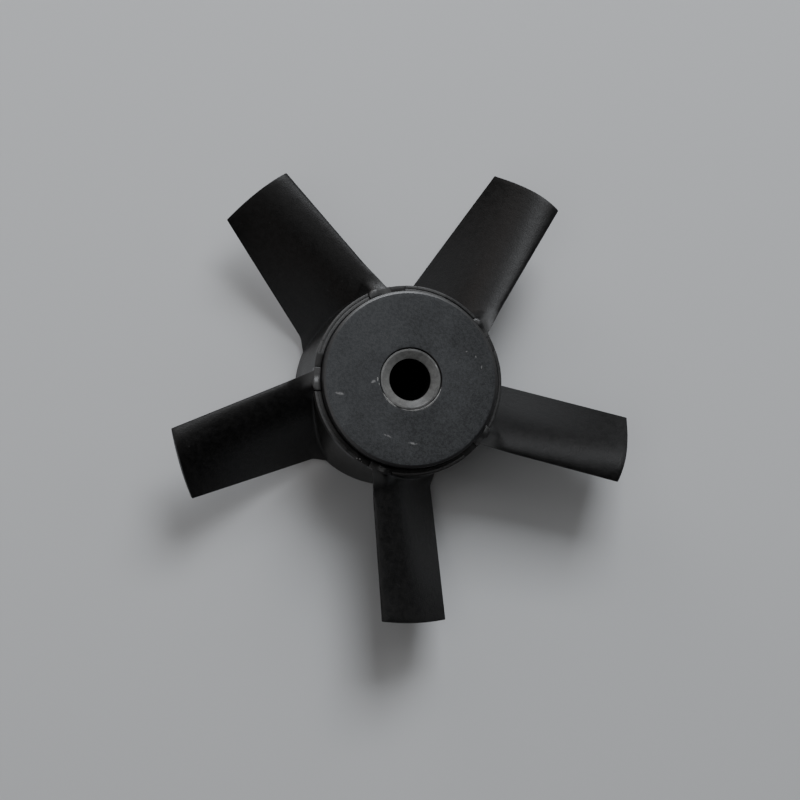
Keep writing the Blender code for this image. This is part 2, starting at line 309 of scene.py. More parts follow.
# %% Build the scuff
STROKE_EDGE = (1.0, 0.1)
SCRAPE_SCALE, SCRAPE_SPREAD = 4200.0, (0.26, 0.58)
settings = {"X": 0.0, "Y": 0.0, "Turn": 0.0, "Length": 0.001, "Width": 0.0003}
tree, given, result = new_group("Scuff", settings, ["Scuff"])
where = tree.nodes.new("ShaderNodeSeparateXYZ")
tree.links.new(tree.nodes.new("ShaderNodeTexCoord").outputs["Object"], where.inputs[0])
dx = maths(tree, "SUBTRACT", where.outputs["X"], given.outputs["X"])
dy = maths(tree, "SUBTRACT", where.outputs["Y"], given.outputs["Y"])
cosine = maths(tree, "COSINE", given.outputs["Turn"])
sine = maths(tree, "SINE", given.outputs["Turn"])
along = maths(tree, "MULTIPLY_ADD", dx, cosine, maths(tree, "MULTIPLY", dy, sine))
dy_part, dx_part = maths(tree, "MULTIPLY", dy, cosine), maths(tree, "MULTIPLY", dx, sine)
across = maths(tree, "SUBTRACT", dy_part, dx_part)
far_along = maths(tree, "POWER", maths(tree, "DIVIDE", along, given.outputs["Length"]), 2.0)
far_across = maths(tree, "POWER", maths(tree, "DIVIDE", across, given.outputs["Width"]), 2.0)
inside_stroke = stretch(tree, maths(tree, "ADD", far_along, far_across), *STROKE_EDGE)
scraped = stretch(tree, noise(tree, SCRAPE_SCALE, detail=2.0), *SCRAPE_SPREAD)
give(tree, result, Scuff=maths(tree, "MULTIPLY", inside_stroke, scraped))

# %% [markdown]
# ## The finishes
# All the nylon is one black melt, and what differs from place to place is how the mould was finished there,
# with painted light and shade on top. First come the tones that all the finishes share: those of rubbed
# edges, of the painted highlight on the fairing at each blade's foot, of dust and of scuffs.

# %% The values that all the nylon shares
RUBBED_TONE, RUBBED_SHINE = (0.06, 0.06, 0.062), 0.10
# Painted highlight: the fairing at each blade's foot gets this paler tone, and a smoother surface.
PAINTED_SHEEN_TONE, SHEEN_SMOOTHING = (0.046, 0.046, 0.046), 0.08
DUST_TONE, DUST_DULLNESS = (0.20, 0.20, 0.195), 0.3
SCUFF_TONE = (0.22, 0.22, 0.22)
print("a scuff is", round(SCUFF_TONE[0] / PAINTED_SHEEN_TONE[0], 1), "times as pale as the fairing")

# %% Helpers that place nodes in a material
def placed(tree, group, **values):
    """Puts the node group of this name in the material, with these values."""
    node = tree.nodes.new("ShaderNodeGroup")
    node.node_tree = bpy.data.node_groups[group]
    for socket, value in values.items():
        node.inputs[socket.replace("_", " ")].default_value = value
    return node


def mix(tree, share, a, b):
    """Mixes two colours, each a tuple or a socket."""
    node = tree.nodes.new("ShaderNodeMix")
    node.data_type = "RGBA"
    tree.links.new(share, node.inputs["Factor"])
    for socket, value in (("A", a), ("B", b)):
        target = [s for s in node.inputs if s.name == socket and s.type == "RGBA"][0]
        feed(tree, target, (*value, 1.0) if isinstance(value, tuple) else value)
    return [s for s in node.outputs if s.type == "RGBA"][0]


def painted(tree, attribute):
    """A number that the piece's mesh carries at each vertex, 0 where it carries none."""
    node = tree.nodes.new("ShaderNodeAttribute")
    node.attribute_name = attribute
    return node.outputs["Fac"]


print("groups to place:", sorted(group.name for group in bpy.data.node_groups if group.type == "SHADER"))

# %% [markdown]
# ### One function for all of them
# The function mixes the shared effects, and each finish calls it with its own numbers, from satin blades to
# the dull, pale grain of the disc. The shader and the Bump node stay in the material. What is the same all
# over a finish, such as its specular level, is set on the shader's own socket.

# %% A function for every nylon finish
def nylon(name, tones, roughness, gloss, scales, depth, weights, rub, dust, drift=0.0, scuffs=()):
    """Black nylon between two tones and two roughnesses.

    gloss is the specular level, scales are the coarse and the fine grain's, depth is the grain's in mm, and
    weights are the shares of mottle and grit in the tone, with clouds for the rest. Each scuff is an
    (x, y, turn in degrees, length, width) in mm.
    """
    material = paint(name, tones[0], roughness[0])
    tree = material.node_tree
    shader = tree.nodes["Principled BSDF"]
    shader.inputs["Specular IOR Level"].default_value = gloss

    grain = placed(tree, "Mould grain", Coarse_Scale=scales[0], Fine_Scale=scales[1])
    # The drift is painted light and shade: paler towards the lit upper left, darker towards the lower right.
    clouds = placed(tree, "Melt clouds and painted light", Drift=drift)
    edges = placed(tree, "Rubbed edges", Amount=rub)
    specks = placed(tree, "Dust specks", Amount=dust)
    tree.links.new(painted(tree, "edge"), edges.inputs["Edge"])

    mottle, grit = weights
    share = maths(tree, "MULTIPLY", grain.outputs["Mottle"], mottle)
    share = maths(tree, "MULTIPLY_ADD", grain.outputs["Grit"], grit, share)
    share = maths(tree, "MULTIPLY_ADD", clouds.outputs["Cloud"], 1.0 - mottle - grit, share)
    colour = mix(tree, share, *tones)
    # Painted highlight: where the mesh carries this share, the fairing is painted paler and made smoother.
    painted_sheen = painted(tree, "painted_sheen")
    colour = mix(tree, painted_sheen, colour, PAINTED_SHEEN_TONE)
    colour = mix(tree, edges.outputs["Rub"], colour, RUBBED_TONE)
    for x, y, turn, length, width in scuffs:
        scuff = placed(tree, "Scuff", X=x * MM, Y=y * MM, Turn=math.radians(turn), Length=length * MM,
                       Width=width * MM)
        colour = mix(tree, scuff.outputs["Scuff"], colour, SCUFF_TONE)
    colour = mix(tree, specks.outputs["Dust"], colour, DUST_TONE)
    tree.links.new(colour, shader.inputs["Base Color"])

    rough = maths(tree, "MULTIPLY_ADD", share, roughness[1] - roughness[0], roughness[0])
    rough = maths(tree, "MULTIPLY_ADD", painted_sheen, -SHEEN_SMOOTHING, rough)
    rough = maths(tree, "MULTIPLY_ADD", edges.outputs["Rub"], -RUBBED_SHINE, rough)
    rough = maths(tree, "MULTIPLY_ADD", specks.outputs["Dust"], DUST_DULLNESS, rough, clamp=True)
    tree.links.new(rough, shader.inputs["Roughness"])

    bump = tree.nodes.new("ShaderNodeBump")
    bump.inputs["Distance"].default_value = depth * MM
    raised = maths(tree, "ADD", grain.outputs["Height"], specks.outputs["Dust"])
    tree.links.new(raised, bump.inputs["Height"])
    tree.links.new(bump.outputs["Normal"], shader.inputs["Normal"])
    return material


print("a finish takes tones, roughness, gloss, scales, depth, weights, rub and dust")

# %% [markdown]
# ### The seven finishes
# Each finish is one call. Its two tones are the darkest and the palest patches, and the two roughnesses go
# with them. The disc, the feet and the ring get a drift of painted light and shade, because the picture
# shows them paler at the upper left, towards the light. Scuffs are only on the disc, where a nut and tools
# have touched it.

# %% Mix the finishes
FACE_SCUFFS = ((-9.5, -1.6, -12, 0.75, 0.22), (9.5, 1.3, 75, 0.28, 0.10), (-3.5, -7.3, -25, 0.65, 0.15),
               (-0.2, -8.4, -8, 0.75, 0.17), (-5.0, -0.2, 20, 0.42, 0.22), (8.8, 2.7, 100, 0.20, 0.10),
               (7.6, 3.4, 20, 0.18, 0.09))
blade_finish = nylon("satin_blade", ((0.0025, 0.0025, 0.0025), (0.012, 0.0115, 0.0115)), (0.36, 0.48), 0.30,
                     (1300.0, 6500.0), 0.050, (0.44, 0.40), 0.5, 0.30)
hub_finish = nylon("moulded_hub", ((0.0060, 0.0058, 0.0056), (0.0140, 0.0133, 0.0124)), (0.38, 0.48), 0.40,
                   (2000.0, 8000.0), 0.014, (0.3, 0.3), 0.6, 0.30)
# Painted light and shade: the drift makes the feet, the disc and the bore ring paler towards the lit upper
# left.
foot_finish = nylon("smooth_foot", ((0.010, 0.010, 0.010), (0.082, 0.0815, 0.081)), (0.30, 0.40), 0.46,
                    (2200.0, 8000.0), 0.012, (0.2, 0.2), 0.25, 0.25, drift=60.0)
disc_finish = nylon("eroded_disc", ((0.0143, 0.0153, 0.0164), (0.0710, 0.0745, 0.078)), (0.50, 0.70), 0.28,
                    (2700.0, 7000.0), 0.055, (0.32, 0.30), 0.4, 0.45, drift=75.0, scuffs=FACE_SCUFFS)
edge_finish = nylon("turned_edge", ((0.009, 0.009, 0.0095), (0.018, 0.018, 0.0185)), (0.34, 0.42), 0.85,
                    (1800.0, 8000.0), 0.006, (0.3, 0.3), 0.2, 0.25)
bore_finish = nylon("worn_bore_ring", ((0.055, 0.055, 0.0535), (0.202, 0.202, 0.195)), (0.28, 0.42), 0.46,
                    (1500.0, 7000.0), 0.014, (0.28, 0.20), 0.8, 0.3, drift=150.0)
flash_finish = nylon("pale_flash", ((0.30, 0.30, 0.30), (0.60, 0.60, 0.59)), (0.40, 0.55), 0.40,
                     (2500.0, 8000.0), 0.010, (0.3, 0.3), 0.3, 0.0)
finishes = (blade_finish, hub_finish, foot_finish, disc_finish, edge_finish, bore_finish, flash_finish)
print("finishes:", [finish.name for finish in finishes])

# %% [markdown]
# ## Helpers for the shapes
# Nearly everything on the hub is a ring or part of one. One helper rounds the corners of an outline, as the
# mould's cutter did, one lays faces between rings of points, and one turns an outline about the shaft. The
# Screw modifier could turn one too, but the feet and the blades need rings that differ.

# %% Points and outlines
def on_circle(radius, angle, height):
    """The point at this radius, angle in degrees and height, in millimetres."""
    turn = math.radians(angle)
    return (radius * math.cos(turn), radius * math.sin(turn), height)


def rounded(corners, longest=0.6, steps=4):
    """A closed outline through (radius, height, rounding) corners, with arcs there and long runs divided."""
    points = []
    for i, (x, y, rounding) in enumerate(corners):
        here = Vector((x, y))
        before = (Vector(corners[i - 1][:2]) - here).normalized()
        after = (Vector(corners[(i + 1) % len(corners)][:2]) - here).normalized()
        if rounding <= 0:
            points.append(here)
            continue
        half = math.acos(max(-1.0, min(1.0, before.dot(after)))) / 2
        reach = rounding / math.tan(half)
        centre = here + (before + after).normalized() * (rounding / math.sin(half))
        start = here + before * reach - centre
        bend = math.pi - 2 * half
        side = math.copysign(1.0, before.x * after.y - before.y * after.x)
        for k in range(steps + 1):
            turn = -side * bend * k / steps
            c, s = math.cos(turn), math.sin(turn)
            points.append(centre + Vector((c * start.x - s * start.y, s * start.x + c * start.y)))
    outline = []
    for a, b in zip(points, points[1:] + points[:1]):
        parts = max(1, math.ceil((b - a).length / longest))
        outline += [a + (b - a) * k / parts for k in range(parts)]
    return [(p.x, p.y) for p in outline]


print("a rounded square has", len(rounded([(0, 0, 0.1), (1, 0, 0.1), (1, 1, 0.1), (0, 1, 0.1)])), "points")

# %% Faces between rings, and turned shapes
def lay_faces(shape, rings, joined=False, capped=False):
    """Lays faces between each ring and the next, and over the last gap (joined) or both ends (capped)."""
    for i in range(len(rings) if joined else len(rings) - 1):
        here, there = rings[i], rings[(i + 1) % len(rings)]
        for j in range(len(here)):
            k = (j + 1) % len(here)
            shape.faces.new((here[j], there[j], there[k], here[k]))
    if capped:
        shape.faces.new(rings[0])
        shape.faces.new(list(reversed(rings[-1])))


def turned(outline, steps):
    """A new shape: the outline of (radius, height) points, swept once about the shaft."""
    shape = bmesh.new()
    angles = [360.0 * i / steps for i in range(steps)]
    rings = [[shape.verts.new(on_circle(r, a, z)) for r, z in outline] for a in angles]
    lay_faces(shape, rings, joined=True)
    return shape


print("a small ring has", len(turned([(1, 0), (2, 0), (2, 1)], 8).faces), "faces")

# %% [markdown]
# ### From a mesh to a piece
# The next helpers mark the tight convex corners for the wear, keep flat faces flat in the shading, round the
# edges and tie each piece to the CAD body. Rounding by a modifier would come too late for the marks.

# %% Marking and rounding the edges
TIGHT_CORNER, OPEN_CORNER = 4.0, 0.8


def mark_edges(shape):
    """Gives each vertex a number, 0 on flat places and 1 on convex corners of under a quarter millimetre."""
    layer = shape.verts.layers.float.new("edge")
    for edge in shape.edges:
        if len(edge.link_faces) != 2:
            continue
        across = sum(f.calc_area() for f in edge.link_faces) / (2 * max(edge.calc_length(), 1e-6))
        bend = edge.calc_face_angle_signed(0.0) / max(across, 1e-3)
        mark = min(1.0, max(0.0, (bend - OPEN_CORNER) / (TIGHT_CORNER - OPEN_CORNER)))
        for vertex in edge.verts:
            vertex[layer] = max(vertex[layer], mark)


def soften(shape, width, above=30):
    """Turns the faces outwards and rounds every edge that turns by more than the given angle."""
    bmesh.ops.recalc_face_normals(shape, faces=shape.faces)
    least = math.radians(above)
    sharp = [e for e in shape.edges if len(e.link_faces) == 2 and e.calc_face_angle(0.0) > least]
    bmesh.ops.bevel(shape, geom=sharp, offset=width, segments=3, profile=0.5, affect="EDGES",
                    clamp_overlap=True)


print("corners rounder than", 1 / OPEN_CORNER, "mm don't wear")

# %% Turning a mesh into a piece
SMOOTH_BELOW = 35


def flatten(piece):
    """Makes each vertex's normal follow its largest face, so flat faces look flat beside rounded edges."""
    piece.modifiers.new("Flat faces", "WEIGHTED_NORMAL").keep_sharp = True
    graph = bpy.context.evaluated_depsgraph_get()
    shaded = piece.evaluated_get(graph)
    flat = bpy.data.meshes.new_from_object(shaded, preserve_all_data_layers=True, depsgraph=graph)
    piece.modifiers.clear()
    piece.data = flat


def add_piece(name, shape, finish, slot, *nodes, flat=True):
    """Turns a bmesh in millimetres into a piece that stands for these CAD nodes."""
    bmesh.ops.recalc_face_normals(shape, faces=shape.faces)
    mark_edges(shape)
    bmesh.ops.scale(shape, vec=(MM, MM, MM), verts=shape.verts)
    mesh = bpy.data.meshes.new(name)
    shape.to_mesh(mesh)
    shape.free()
    mesh.materials.append(finish)
    mesh.shade_smooth()
    mesh.set_sharp_from_angle(angle=math.radians(SMOOTH_BELOW))
    piece = add_object(name, mesh)
    if flat:
        flatten(piece)
    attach(piece, "root")
    if nodes:
        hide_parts(*nodes)
    print(name, len(mesh.polygons), "faces")


print("edges sharper than", SMOOTH_BELOW, "degrees stay sharp in the shading")

# %% [markdown]
# ## The blades
# A fan blade is a wing that is twisted, because its tip moves faster than its root. Its leading and trailing
# edges are straight lines from the hub to the tip circle. Each section between them is worked out flat, with
# arc length as one axis and height as the other, and is then wrapped round the shaft. A subdivided box could
# be pushed into this shape, but sections keep the twist exact.

# %% Where the blade's edges run
BLADE_COUNT, FIRST_BLADE_ANGLE = 5, -90.0
HUB_HEIGHT, FRONT_RADIUS, REAR_RADIUS, TIP_RADIUS = 15.8, 12.5, 12.55, 31.5
LEADING = (-25.2, 13.5, -8.6, 12.2)
TRAILING = (23.3, 1.0, 8.3, 8.3)


def blade_angle(index):
    """Where this blade points, in degrees."""
    return FIRST_BLADE_ANGLE + index * 360.0 / BLADE_COUNT


def edge_place(edge, radius):
    """The (angle, height) at this radius of an edge (root angle, root height, tip angle, tip height)."""
    root = Vector(on_circle(FRONT_RADIUS, edge[0], edge[1]))
    run = Vector(on_circle(TIP_RADIUS, edge[2], edge[3])) - root
    square = run.xy.length_squared
    half_linear = root.xy.dot(run.xy)
    constant = root.xy.length_squared - radius**2
    share = (-half_linear + math.sqrt(half_linear**2 - square * constant)) / square
    point = root + share * run
    return math.degrees(math.atan2(point.y, point.x)), point.z


for radius in (FRONT_RADIUS, TIP_RADIUS):
    (lead, high), (trail, low) = edge_place(LEADING, radius), edge_place(TRAILING, radius)
    slope = math.degrees(math.atan2(high - low, math.radians(trail - lead) * radius))
    print("at", radius, "mm from the shaft the blade slopes by", round(slope), "degrees")

# %% [markdown]
# ### The aerofoil
# Each section is an aerofoil, thick near the front and thin behind. Half its thickness is the usual
# four-digit curve. Its middle line bends like a parabola as far as the camber's peak and runs nearly straight
# from there to the tail, which gives the soft light band behind the leading edge and the even tone after it.
# Close to the hub the section swells in a small quarter round, where the melt flows into the blade.

# %% The curves of the aerofoil
ROOT_THICKNESS, TIP_THICKNESS, TRAILING_THICKNESS = 1.9, 1.0, 0.36
CAMBER_PEAK, CAMBER_BEND = 0.36, 0.25
ROOT_FILLET = 0.3


def soft_step(value):
    """Goes from 0 to 1 as the value does, with soft ends."""
    value = min(1.0, max(0.0, value))
    return value * value * (3 - 2 * value)


def half_thickness(share, thickness):
    """Half the section's thickness at this share of the chord."""
    curve = (0.2969 * math.sqrt(share) - 0.1260 * share - 0.3516 * share**2
             + 0.2843 * share**3 - 0.1036 * share**4)
    return 5 * thickness * curve + share * TRAILING_THICKNESS / 2


def camber_line(share):
    """The camber at this share of the chord, over the greatest: round in front, nearly straight behind."""
    if share < CAMBER_PEAK:
        return 1.0 - (1.0 - share / CAMBER_PEAK) ** 2
    behind = (share - CAMBER_PEAK) / (1.0 - CAMBER_PEAK)
    fallen = math.hypot(behind, CAMBER_BEND) - CAMBER_BEND
    return 1.0 - fallen / (math.hypot(1.0, CAMBER_BEND) - CAMBER_BEND)


def soft_excess(value, blend):
    """The value where it is positive and 0 where it is negative, rounded within the blend's width."""
    if abs(value) >= blend:
        return max(0.0, value)
    return (value + blend) ** 2 / (4 * blend)


def fillet(radius):
    """How far the section swells near the hub."""
    away = min(1.0, max(0.0, (radius - REAR_RADIUS) / ROOT_FILLET))
    return ROOT_FILLET * (1.0 - math.sqrt(1.0 - (1.0 - away) ** 2))


print("camber at nose, peak and tail:", [camber_line(share) for share in (0.0, CAMBER_PEAK, 1.0)])

# %% [markdown]
# ### The whole section
# At the hub the upper side rises to a smooth fairing, a roof that starts level with the pad on the hub and
# slopes down into the blade, outwards and towards the tail. The tail draws out along the hub, so that the
# corner there isn't sharp. Each point also says how far it lies on the fairing, where a painted highlight
# makes the blade paler and smoother.

# %% The blade's section
CHORD_STEPS = 76
CAMBER_SHARE = 0.07
FLARE_REACH, FLARE_TOP, FLARE_SINK, SINK_START = 1.9, 14.21, 0.5, 0.05
FAIRING_SLOPE, FAIRING_CURVE, FAIRING_SKEW, FAIRING_BLEND = 0.14, 0.06, 0.24, 0.60
FAIRING_FLAT, FAIRING_ROUND = 1.25, 0.40
FAIRING_FADE, FAIRING_SHEEN, SHEEN_RISE = 2.4, 0.9, 3.0
NOSE_SHARE, NOSE_SWELL, END_ROUNDING = 0.06, 0.3, 3.0
TAIL_FLARE_START, TAIL_FLARE_LENGTH, TAIL_FLARE_POWER = 0.6, 0.9, 1.5


def section(radius, inset=0.0):
    """The closed section at one radius, upper side first, as (arc length, height, share on the fairing)."""
    lead_angle, lead_height = edge_place(LEADING, radius)
    trail_angle, trail_height = edge_place(TRAILING, radius)
    start = math.radians(lead_angle) * radius
    run = Vector((math.radians(trail_angle) * radius - start, trail_height - lead_height))
    chord = run.length
    forward = run / chord
    outward = Vector((-forward.y, forward.x))
    swell = fillet(radius)
    span = (radius - REAR_RADIUS) / (TIP_RADIUS - REAR_RADIUS)
    thickness = ROOT_THICKNESS + (TIP_THICKNESS - ROOT_THICKNESS) * span
    flare = 1.0 - soft_step((radius - FRONT_RADIUS) / FLARE_REACH)
    away = max(0.0, radius - FRONT_RADIUS)
    fairing_top = FLARE_TOP - FAIRING_SLOPE * away - FAIRING_CURVE * away**2
    fairing_top -= FLARE_SINK * max(0.0, FRONT_RADIUS - SINK_START - radius)
    upper, lower = [], []
    for i in range(CHORD_STEPS + 1):
        share = (1.0 - math.cos(math.pi * i / CHORD_STEPS)) / 2
        camber = CAMBER_SHARE * chord * camber_line(share)
        reach = share * (chord + swell * (1.0 + NOSE_SWELL) - 2 * inset) - swell * NOSE_SWELL + inset
        rounding = min(1.0, END_ROUNDING * math.sqrt(share), END_ROUNDING * math.sqrt(1.0 - share))
        half = half_thickness(share, thickness) + (swell - inset) * rounding
        back = soft_step((share - TAIL_FLARE_START) / (1.0 - TAIL_FLARE_START))
        drawn_out = TAIL_FLARE_LENGTH * flare**TAIL_FLARE_POWER * back
        for side, points in ((1, upper), (-1, lower)):
            point = Vector((start, lead_height)) + reach * forward + (camber + side * half) * outward
            behind = max(0.0, point.x - start)
            beyond = max(0.0, behind - FAIRING_FLAT)
            roof = fairing_top - FAIRING_SKEW * away * behind - FAIRING_ROUND * beyond**2
            rise = soft_excess(roof - point.y, FAIRING_BLEND)
            if side < 0:
                rise *= 1.0 - soft_step(share / NOSE_SHARE)
            on_roof = soft_step(SHEEN_RISE * rise) * (1.0 - soft_step(beyond / FAIRING_SHEEN))
            points.append((point.x + drawn_out, point.y + rise, on_roof))
    return upper + lower[-1:0:-1]


print("each section has", len(section(FRONT_RADIUS)), "points")

# %% [markdown]
# ### Five blades
# The sections stand close together in the fairing, and shrink over the last tenth of a millimetre, which
# rounds the tip. The first two lie inside the hub's wall, so that no gap can show.

# %% Where the sections stand
TIP_ROUNDING, TIP_STEPS = 0.12, 4
WALL_DEPTHS = (0.5, 0.1)
FAIRING_STEPS, FAIRING_CROWDING, SPAN_STEPS = 14, 1.6, 32


def blade_stations():
    """(radius, inset) of each section: dense in the fairing, even along the blade, rounded at the tip."""
    fairing_end = REAR_RADIUS + FLARE_REACH
    span = TIP_RADIUS - TIP_ROUNDING - fairing_end
    stations = [(REAR_RADIUS - depth, 0.0) for depth in WALL_DEPTHS]
    for i in range(FAIRING_STEPS):
        stations.append((REAR_RADIUS + FLARE_REACH * (i / FAIRING_STEPS) ** FAIRING_CROWDING, 0.0))
    stations += [(fairing_end + span * i / SPAN_STEPS, 0.0) for i in range(SPAN_STEPS + 1)]
    for i in range(1, TIP_STEPS + 1):
        turn = math.pi / 2 * i / TIP_STEPS
        radius = TIP_RADIUS - TIP_ROUNDING * (1 - math.sin(turn))
        stations.append((radius, TIP_ROUNDING * (1 - math.cos(turn))))
    return stations


print("sections along a blade:", len(blade_stations()))

# %% Build the blades
def close_end(shape, ring):
    """Closes a section with strips from the upper to the lower side."""
    count = len(ring)
    shape.faces.new((ring[0], ring[1], ring[-1]))
    for i in range(1, count // 2 - 1):
        shape.faces.new((ring[i], ring[i + 1], ring[count - i - 1], ring[count - i]))
    middle = count // 2
    shape.faces.new((ring[middle - 1], ring[middle], ring[middle + 1]))


def build_blade(index):
    shape = bmesh.new()
    painted_sheen = shape.verts.layers.float.new("painted_sheen")
    rings = []
    for radius, inset in blade_stations():
        near_hub = 1.0 - soft_step((radius - REAR_RADIUS - ROOT_FILLET) / FAIRING_FADE)
        ring = []
        for arc_length, height, on_roof in section(radius, inset):
            angle = blade_angle(index) + math.degrees(arc_length / radius)
            vertex = shape.verts.new(on_circle(radius, angle, height))
            # Painted highlight: this share paints the fairing paler and smoother.
            vertex[painted_sheen] = near_hub * on_roof
            ring.append(vertex)
        rings.append(ring)
    lay_faces(shape, rings)
    close_end(shape, rings[0])
    close_end(shape, rings[-1])
    number = index + 1
    add_piece(f"blade_skin_{number}", shape, blade_finish, "blade_plastic", f"blade_{number}", flat=False)


for index in range(BLADE_COUNT):
    build_blade(index)

# %% [markdown]
# ## The hub
# The hub is an open cup. Its front edge has a ledge under each blade's foot and a bridge between each two,
# so the outline changes as it goes round, and the angles have to stop exactly where a ledge ends.

# %% Where the ledges are
SHOULDER_DROP = 1.7
LEDGE_DROP, LEDGE_STEP = 2.95, 1.25
BRIDGE_DROP = 0.08
FOOT_START_ANGLE = -27.0
PAD_ANGLE, REST_ANGLE, SEAM_ANGLE = 13.6, 46.5, 0.9
FOOT_ANGLE = PAD_ANGLE + REST_ANGLE + 3 * SEAM_ANGLE
BRIDGE_ANGLE = 360.0 / BLADE_COUNT - FOOT_ANGLE


def hub_angles():
    """(angle, in a foot's ledge from here on) round the hub, with stops exactly at the ledges' ends."""
    stops = []
    for index in range(BLADE_COUNT):
        start = blade_angle(index) + FOOT_START_ANGLE - SEAM_ANGLE
        for first, length, foot in ((start, FOOT_ANGLE, True), (start + FOOT_ANGLE, BRIDGE_ANGLE, False)):
            steps = max(2, round(length / LEDGE_STEP))
            stops += [(first + length * i / steps, foot) for i in range(steps)]
    return stops


print("a bridge turns through", round(BRIDGE_ANGLE, 1), "degrees")

# %% [markdown]
# ### The hub's wall
# One ring of points is made at each angle, faces are laid between the rings, and a small wall closes each
# change of level. Ledges cut out of a plain cup would leave long thin faces. Softening the edges afterwards
# gives them the rounding of a moulding. A hair of a hundredth of a millimetre keeps neighbouring faces apart.

# %% Build the hub wall
HUB_INNER_RADIUS, HUB_TAPER = 10.9, 0.1
DISC_RADIUS, DISC_THICKNESS = 11.6, 4.1
SEAT_GAP, SEAT_CLEARANCE, HAIR = 0.06, 0.02, 0.01
OUTER_LEVELS, MOUTH_LEVEL, INNER_LEVELS = (0.0, 1.0, 4.0, 8.0, 11.5, 12.4), 12.3, (11.0, 8.0, 4.0, 1.0, 0.0)
WALL_SOFTENING = 0.05


def build_hub_wall():
    """The cup's wall, with its ledges and bridges."""
    ledge = HUB_HEIGHT - LEDGE_DROP
    bridge = HUB_HEIGHT - SHOULDER_DROP - BRIDGE_DROP
    seat = HUB_HEIGHT - DISC_THICKNESS - SEAT_CLEARANCE
    mouth = DISC_RADIUS + SEAT_GAP
    outer = [(REAR_RADIUS - HUB_TAPER * z / HUB_HEIGHT, z) for z in (*OUTER_LEVELS, ledge)]
    inner = [(mouth, ledge), (mouth, MOUTH_LEVEL), (mouth, seat), (HUB_INNER_RADIUS, seat)]
    inner += [(HUB_INNER_RADIUS, z) for z in INNER_LEVELS]
    shape = bmesh.new()
    stops = hub_angles()
    lower = [[shape.verts.new(on_circle(r, a, z)) for r, z in outer + inner] for a, _ in stops]
    upper = {}
    for i, (angle, foot) in enumerate(stops):
        if not foot or not stops[i - 1][1]:
            upper[i] = [shape.verts.new(on_circle(r, angle, bridge)) for r in (FRONT_RADIUS, mouth)]
    out, into = len(outer) - 1, len(outer)
    for i, (_, foot) in enumerate(stops):
        n = (i + 1) % len(stops)
        here, there = lower[i], lower[n]
        for j in range(len(here)):
            k = (j + 1) % len(here)
            if j != out or foot:
                shape.faces.new((here[j], there[j], there[k], here[k]))
        if not foot:
            shape.faces.new((here[out], there[out], upper[n][0], upper[i][0]))
            shape.faces.new((upper[i][0], upper[n][0], upper[n][1], upper[i][1]))
            shape.faces.new((upper[i][1], upper[n][1], there[into], here[into]))
        if foot != stops[i - 1][1]:
            shape.faces.new((here[out], upper[i][0], upper[i][1], here[into]))
    soften(shape, WALL_SOFTENING)
    add_piece("hub_wall", shape, hub_finish, "hub_plastic", "hub_shell")


build_hub_wall()

# %% [markdown]
# ## The blades' feet
# Each blade ends in a foot that rests in the hub's front edge. Under the leading edge the foot is a smooth
# pad, and past a fine seam it goes on as a stepped rest. Both are outlines swept about the shaft. The outline
# may change on the way, so nothing on them needs cutting.

# %% Sweep an outline that changes on the way
FOOT_BOTTOM = HUB_HEIGHT - LEDGE_DROP + HAIR
HAIRLINE, END_SEAM = 0.1, 0.3
inside, outside = DISC_RADIUS + SEAT_GAP, FRONT_RADIUS + 2 * HAIR
shoulder = HUB_HEIGHT - SHOULDER_DROP


def build_arc(name, outline_at, angles, softening, *nodes):
    """A stretch of ring through these angles, whose outline of (radius, height) depends on the angle."""
    shape = bmesh.new()
    rings = [[shape.verts.new(on_circle(r, a, z)) for r, z in outline_at(a - angles[0])] for a in angles]
    lay_faces(shape, rings, capped=True)
    if softening:
        soften(shape, softening, above=40)
    add_piece(name, shape, foot_finish, "shoulder_plastic", *nodes)


print("feet:", round(outside - inside, 2), "mm wide,", round(shoulder - FOOT_BOTTOM, 2), "mm deep")

# %% [markdown]
# ### The pads
# The pad's end swells into a low, flat-topped knob that reaches a little past the hub's edge. It could be a
# squashed sphere sunk into the pad, but a rising outline leaves no line between the two.

# %% Build the pads
PAD_RISE, PAD_STEPS, PAD_SOFTENING = 0.12, 18, 0.07
KNOB_LENGTH, KNOB_RISE, KNOB_REACH, KNOB_WAIST, KNOB_STEPS = 9.0, 0.20, 0.40, 0.30, 8
RISE_SPEED, REACH_SPEED, END_DROP = 2.0, 1.6, 0.6
pad_turn = PAD_ANGLE + SEAM_ANGLE - HAIRLINE


def pad_outline(turned_by):
    """The pad's outline this many degrees after its start."""
    near_end = min(1.0, max(0.0, 1.0 - (pad_turn - turned_by) / KNOB_LENGTH))
    round_end = 1.0 - math.sqrt(1.0 - near_end**2)
    dome = KNOB_RISE * soft_step(RISE_SPEED * near_end) * (1.0 - END_DROP * round_end)
    edge = outside + KNOB_REACH * soft_step(REACH_SPEED * near_end) - (KNOB_REACH + KNOB_WAIST) * round_end
    outline = [(inside, FOOT_BOTTOM), (edge, FOOT_BOTTOM)]
    for k in range(KNOB_STEPS + 1):
        across = k / KNOB_STEPS
        plateau = 1.0 - (2.0 * across - 1.0) ** 4
        outline.append((edge + (inside - edge) * across, shoulder + PAD_RISE + dome * plateau))
    return outline


def build_pad(index):
    start = blade_angle(index) + FOOT_START_ANGLE - SEAM_ANGLE + HAIRLINE
    angles = [start + pad_turn * i / PAD_STEPS for i in range(PAD_STEPS + 1)]
    build_arc(f"foot_pad_{index + 1}", pad_outline, angles, PAD_SOFTENING, f"root_pad_{index + 1}")


print("a pad turns through", round(pad_turn, 1), "degrees")

# %% [markdown]
# ### The stepped rests
# A rest has a floor beside the disc and a lip along the hub's outer edge, with a fine groove between them.
# The lip drops to a low step before the rest's end.

# %% Build the pads and the rests, blade by blade
FLOOR_STEP, LIP_WIDTH = 0.11, 0.36
LIP_END, LOW_STEP = 40.6, 0.03
LIP_GROOVE, LIP_GROOVE_DEPTH = 0.07, 0.07
LIP_STEPS, LIP_FALL, LOW_STEPS = 36, 0.25, 9


